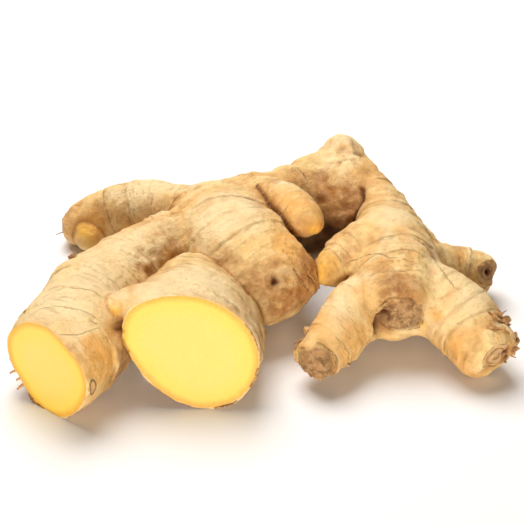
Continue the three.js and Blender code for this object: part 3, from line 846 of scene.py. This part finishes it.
height = add(tree, "Math", {0: height, 1: times(speck, -0.15)}, operation="ADD").outputs[0]
bump = add(tree, "Bump", {"Height": height, "Distance": 1.4 * MM, "Strength": 1.0})
tree.links.new(bump.outputs[0], shader.inputs["Normal"])

# Fresh-cut ginger flesh: juicy, bright yellow, paler in the core than in the band under the
# skin, with the dots of its fibres cut across.
flesh_finish = bpy.data.materials.new("fresh_ginger_flesh")
flesh_finish.use_nodes = True
tree = flesh_finish.node_tree
shader = tree.nodes["Principled BSDF"]
object_place = add(tree, "TexCoord").outputs["Object"]
rim_depth = attribute("rim")
ragged = add(tree, "Math", {0: rim_depth, 1: times(field(3, 3), 2.0)}, operation="ADD").outputs[0]
tone = paint(between(ragged, 1.4, 4.0), colour("#EBA82A"), colour("#F6D054"))
tone = paint(between(rim_depth, 2.5, 9.0, 0.0, 0.85), tone, colour("#F2D16C"))
tone = paint(times(between(field(6, 4), 0.48, 0.7), 0.5), tone, colour("#F9DC5A"))
cell = add(tree, "TexVoronoi", {"Vector": object_place, "Scale": per_metre(1.9), "Randomness": 1.0})
fibre = between(cell.outputs["Distance"], 0.12, 0.3, 1.0, 0.0)
tone = paint(times(fibre, 0.12), tone, colour("#EBB93C"))
tone = paint(between(rim_depth, 0.0, 0.75, 0.8, 0.0), tone, colour("#D9A24E"))
tree.links.new(tone, shader.inputs["Base Color"])
tree.links.new(between(field(2, 4), 0.3, 0.7, 0.32, 0.5), shader.inputs["Roughness"])
shader.inputs["Subsurface Weight"].default_value = 0.25
shader.inputs["Subsurface Radius"].default_value = (1.0, 0.75, 0.2)
shader.inputs["Subsurface Scale"].default_value = 2.5 * MM
height = add(tree, "Math", {0: times(field(1.0, 5), 0.10), 1: times(fibre, 0.03)}, operation="ADD").outputs[0]
bump = add(tree, "Bump", {"Height": height, "Distance": 1.0 * MM, "Strength": 0.5})
tree.links.new(bump.outputs[0], shader.inputs["Normal"])

rhizome.data.materials.append(skin_finish)
rhizome.data.materials.append(flesh_finish)
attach(rhizome, "root")
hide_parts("rhizome")

# Dry bark and paper: what is left of old scale leaves and rootlets, brown and fibrous.
paper_finish = bpy.data.materials.new("dry_brown_scale_paper")
paper_finish.use_nodes = True
tree = paper_finish.node_tree
shader = tree.nodes["Principled BSDF"]
object_place = add(tree, "TexCoord").outputs["Object"]
tone = paint(between(field(2.5, 4, object_place), 0.35, 0.65), colour("#946534"), colour("#D2A66C"))
tone = paint(times(between(field(0.9, 5, object_place), 0.48, 0.62), 0.6), tone, colour("#7A4E27"))
tree.links.new(tone, shader.inputs["Base Color"])
shader.inputs["Roughness"].default_value = 0.75
bump = add(tree, "Bump", {"Height": field(0.8, 4, object_place), "Distance": 0.4 * MM, "Strength": 0.7})
tree.links.new(bump.outputs[0], shader.inputs["Normal"])


def finish_scraps(piece, name):
    """Names a small dried piece, keeps it in the solid's box and gives it to the root."""
    piece.name = piece.data.name = name
    write_points(piece, np.clip(read_points(piece), low_corner, high_corner))
    piece.data.shade_smooth()
    piece.data.materials.clear()
    piece.data.materials.append(paper_finish)
    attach(piece, "root")
    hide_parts("rhizome")


# Papery scraps: torn edges of old scale leaves at the finger ends, and of the skin beside the cuts.
PAPER = 0.3  # thickness, mm
SCRAPS = [  # height in mm, the way it leans, and the line that it is rooted along
    (2.2, (0.2, -0.6, 0.7), [(71.0, -31.5, 21.0), (73.5, -33.5, 19.5), (75.6, -34.0, 18.4)]),
    (1.6, (0.7, -0.5, 0.2), [(78.8, -35.5, 11.0), (79.0, -37.5, 8.0), (77.4, -38.5, 5.0)]),
    (0.7, (0.6, -0.7, 0.3), [(49.5, -8.6, 33.8), (52.8, -9.7, 31.8), (56.0, -12.1, 28.0)]),
    (3.4, (0.7, -0.2, 0.7), [(73.0, -30.6, 19.8), (75.5, -31.6, 18.2), (77.4, -32.4, 15.8)]),
    (2.8, (0.9, -0.4, 0.2), [(78.2, -33.4, 14.0), (79.2, -34.6, 11.0), (78.6, -36.0, 8.0)]),
    (1.6, (0.3, -0.9, 0.3), [(70.0, -38.5, 18.5), (73.5, -37.5, 18.2), (76.8, -36.5, 15.5)]),
    (1.2, (0.5, -0.8, 0.0), [(12.3, -11.8, 27.3), (13.9, -13.1, 25.1), (15.6, -12.9, 21.9),
                             (17.4, -10.2, 17.1)]),
    (0.9, (0.6, -0.7, -0.2), [(9.5, -15.5, 27.0), (12.5, -16.4, 22.6), (14.9, -15.8, 18.4)]),
    (1.4, (-0.5, -0.7, 0.0), [(13.0, -37.5, 15.0), (11.0, -38.5, 11.0), (11.5, -40.0, 6.5)]),
    (0.7, (0.5, -0.8, 0.0), [(19.5, -44.0, 15.2), (22.5, -43.5, 11.0), (21.8, -43.5, 6.5)]),
    (1.0, (0.0, -0.9, -0.4), [(12.5, -42.0, 4.5), (16.5, -44.0, 3.5), (20.5, -44.0, 4.5)]),
    (1.0, (0.5, -0.6, 0.4), [(73.5, 2.5, 17.0), (76.5, 4.0, 16.5), (78.5, 7.0, 15.0)]),
]
for name, (first, last, tall) in {"frontArm": (-100, 35, 0.9), "leftArm": (130, 300, 0.8)}.items():
    centre, loop = rim_loops[name]
    around = np.degrees(np.arctan2(loop[:, 2] - centre[2], loop[:, 0] - centre[0]))
    start = first
    while start < last:
        run = np.random.default_rng(int(start) + 500).uniform(14, 30)
        turned = (around - start) % 360
        part = loop[turned < run][np.argsort(turned[turned < run])][::4]
        if len(part) > 3:
            SCRAPS.append((tall, cut_planes[name][1] + (0, 0, -0.1), part))
        start += run + np.random.default_rng(int(start) + 600).uniform(4, 16)


def scrap(line, height, lean, seed):
    """A torn strip rooted just under the skin along a line, ragged at its free edge."""
    path = smooth_curve(line, 6)
    draw = np.random.default_rng(seed)
    tall = height * draw.uniform(0.2, 1.0, len(path)) * np.sqrt(np.sin(np.linspace(0.1, 3.04, len(path))))
    rows = []
    for place, rise in zip(path, tall):
        spot, normal = rhizome.closest_point_on_mesh(Vector(((place - TABLE_CENTRE) * MM).tolist()))[1:3]
        spot, normal = np.array(spot) / MM, np.array(normal)
        up = normal * 0.7 + np.asarray(lean) * 0.7
        up /= np.linalg.norm(up)
        curl = normal * draw.uniform(-0.3, 0.5)
        rows.append([spot - 0.5 * normal, spot + 0.45 * rise * up, spot + rise * (up + curl)])
    return np.array(rows)


corners, faces = [], []
for seed, (height, lean, line) in enumerate(SCRAPS):
    rows = scrap(line, height, lean, seed + 70)
    first = len(corners)
    corners += rows.reshape(-1, 3).tolist()
    for i in range(len(rows) - 1):
        for j in range(2):
            a = first + 3 * i + j
            faces.append((a, a + 3, a + 4, a + 1))
paper = bpy.data.meshes.new("papery_scraps")
paper.from_pydata((np.array(corners) * MM).tolist(), [], faces)
papery_scraps = bpy.data.objects.new("papery_scraps", paper)
bpy.context.scene.collection.objects.link(papery_scraps)
bpy.ops.object.select_all(action="DESELECT")
papery_scraps.select_set(True)
bpy.context.view_layer.objects.active = papery_scraps
thick = papery_scraps.modifiers.new("thick", "SOLIDIFY")
thick.thickness = PAPER * MM
thick.offset = 0
bpy.ops.object.modifier_apply(modifier="thick")
bpy.ops.object.mode_set(mode="EDIT")
bpy.ops.mesh.select_all(action="SELECT")
bpy.ops.mesh.normals_make_consistent(inside=False)
bpy.ops.object.mode_set(mode="OBJECT")
finish_scraps(papery_scraps, "papery_scraps")

# Rootlet stubs: dried roots and scale tips that broke off short, some no thicker than a hair.
STUBS = [  # from, to, radius at the root and at the end, in mm
    ((74, -33, 16), (78.0, -32.8, 19.6), 2.0, 0.9), ((76, -36, 12), (80.6, -35.8, 12.4), 1.8, 0.8),
    ((20, -33, 14), (13.4, -34.4, 16.2), 1.9, 1.1), ((24, -40, 9), (27.6, -41.4, 7.2), 1.3, 0.5),
    ((-1.5, -31, 13), (0.9, -32.2, 13.2), 2.4, 1.6), ((-72, -42, 9), (-79.0, -44.0, 6.4), 0.9, 0.3),
    ((-58, -15, 26), (-61.6, -12.6, 30.8), 2.0, 1.2), ((-69.5, -40, 24), (-73.2, -39.4, 27.0), 1.5, 0.8),
    ((-73, -45, 7), (-76.8, -46.8, 5.6), 0.6, 0.3), ((-72, -42, 11), (-76.9, -43.0, 9.4), 0.5, 0.3),
    ((-73, -46, 5), (-76.2, -48.6, 3.8), 0.6, 0.3),
    ((76, -35, 9), (80.4, -37.5, 7.5), 0.4, 0.15), ((-65, 44, 8), (-74.5, 41.0, 6.0), 0.4, 0.15),
]
bpy.ops.object.select_all(action="DESELECT")
made = []
for start, end, wide_end, thin_end in STUBS:
    start, end = np.array(start, float), np.array(end, float)
    pointing = Vector((end - start).tolist()).to_track_quat("Z", "Y").to_euler()
    bpy.ops.mesh.primitive_cone_add(vertices=10, radius1=wide_end * MM, radius2=thin_end * MM,
                                    depth=np.linalg.norm(end - start) * MM,
                                    location=(((start + end) / 2 - TABLE_CENTRE) * MM).tolist(),
                                    rotation=pointing)
    made.append(bpy.context.object)
for stub in made:
    stub.select_set(True)
bpy.context.view_layer.objects.active = made[0]
bpy.ops.object.join()
rootlet_stubs = bpy.context.object
bpy.ops.object.transform_apply(location=True, rotation=True, scale=True)
bpy.ops.object.mode_set(mode="EDIT")
bpy.ops.mesh.select_all(action="SELECT")
bpy.ops.mesh.subdivide(number_cuts=3)
bpy.ops.object.mode_set(mode="OBJECT")
spots = drawn(read_points(rootlet_stubs))
shift = np.column_stack([grain(spots, 1.8, seed) for seed in (61, 62, 63)])
write_points(rootlet_stubs, (spots + 0.25 * shift - TABLE_CENTRE) * MM)
finish_scraps(rootlet_stubs, "rootlet_stubs")

# The studio: a white table, a broad soft lamp up on the left behind the root, and white all round.
bpy.ops.object.select_all(action="DESELECT")
bpy.ops.mesh.primitive_plane_add(size=6, location=(0, 0, 0))
table_top = bpy.context.object
table_top.name = "table_top"
white = bpy.data.materials.new("white_paper_sweep")
white.use_nodes = True
white.node_tree.nodes["Principled BSDF"].inputs["Base Color"].default_value = colour("#F4F2F1")
white.node_tree.nodes["Principled BSDF"].inputs["Roughness"].default_value = 0.8
table_top.data.materials.append(white)

world = bpy.data.worlds.new("white_room")
world.use_nodes = True
world.node_tree.nodes["Background"].inputs["Color"].default_value = colour("#FFE8D2")
world.node_tree.nodes["Background"].inputs["Strength"].default_value = 0.14
bpy.context.scene.world = world


def softbox(name, place, aim, size, power, tint):
    bpy.ops.object.light_add(type="AREA", location=place)
    lamp = bpy.context.object
    lamp.name = name
    lamp.data.shape = "SQUARE"
    lamp.data.size = size
    lamp.data.energy = power
    lamp.data.color = colour(tint)[:3]
    lamp.rotation_euler = (Vector(aim) - Vector(place)).to_track_quat("-Z", "Y").to_euler()


softbox("key_softbox", (-0.14, 0.36, 0.75), (0, 0, 0), 0.62, 9.6, "#FFFFFF")
softbox("front_fill", (-0.05, -0.9, 0.13), (0, 0, 0.02), 0.36, 7.8, "#FFFAF0")

# The camera stands where the photograph was taken from: half a metre off, looking down.
VIEW_HEIGHT = math.radians(32)
VIEW_DISTANCE = 500 * MM
FOCAL_PIXELS = 1500
FRAME_PIXELS = 524
aim = Vector(((np.array([0, 0, 20]) - TABLE_CENTRE) * MM).tolist())
camera_data = bpy.data.cameras.new("camera")
camera_data.sensor_width = 36
camera_data.lens = 36 * FOCAL_PIXELS / FRAME_PIXELS
camera = bpy.data.objects.new("camera", camera_data)
bpy.context.scene.collection.objects.link(camera)
camera.location = aim + VIEW_DISTANCE * Vector((0, -math.cos(VIEW_HEIGHT), math.sin(VIEW_HEIGHT)))
camera.rotation_euler = (aim - camera.location).to_track_quat("-Z", "Y").to_euler()
bpy.context.scene.camera = camera
bpy.context.scene.view_settings.view_transform = "Standard"
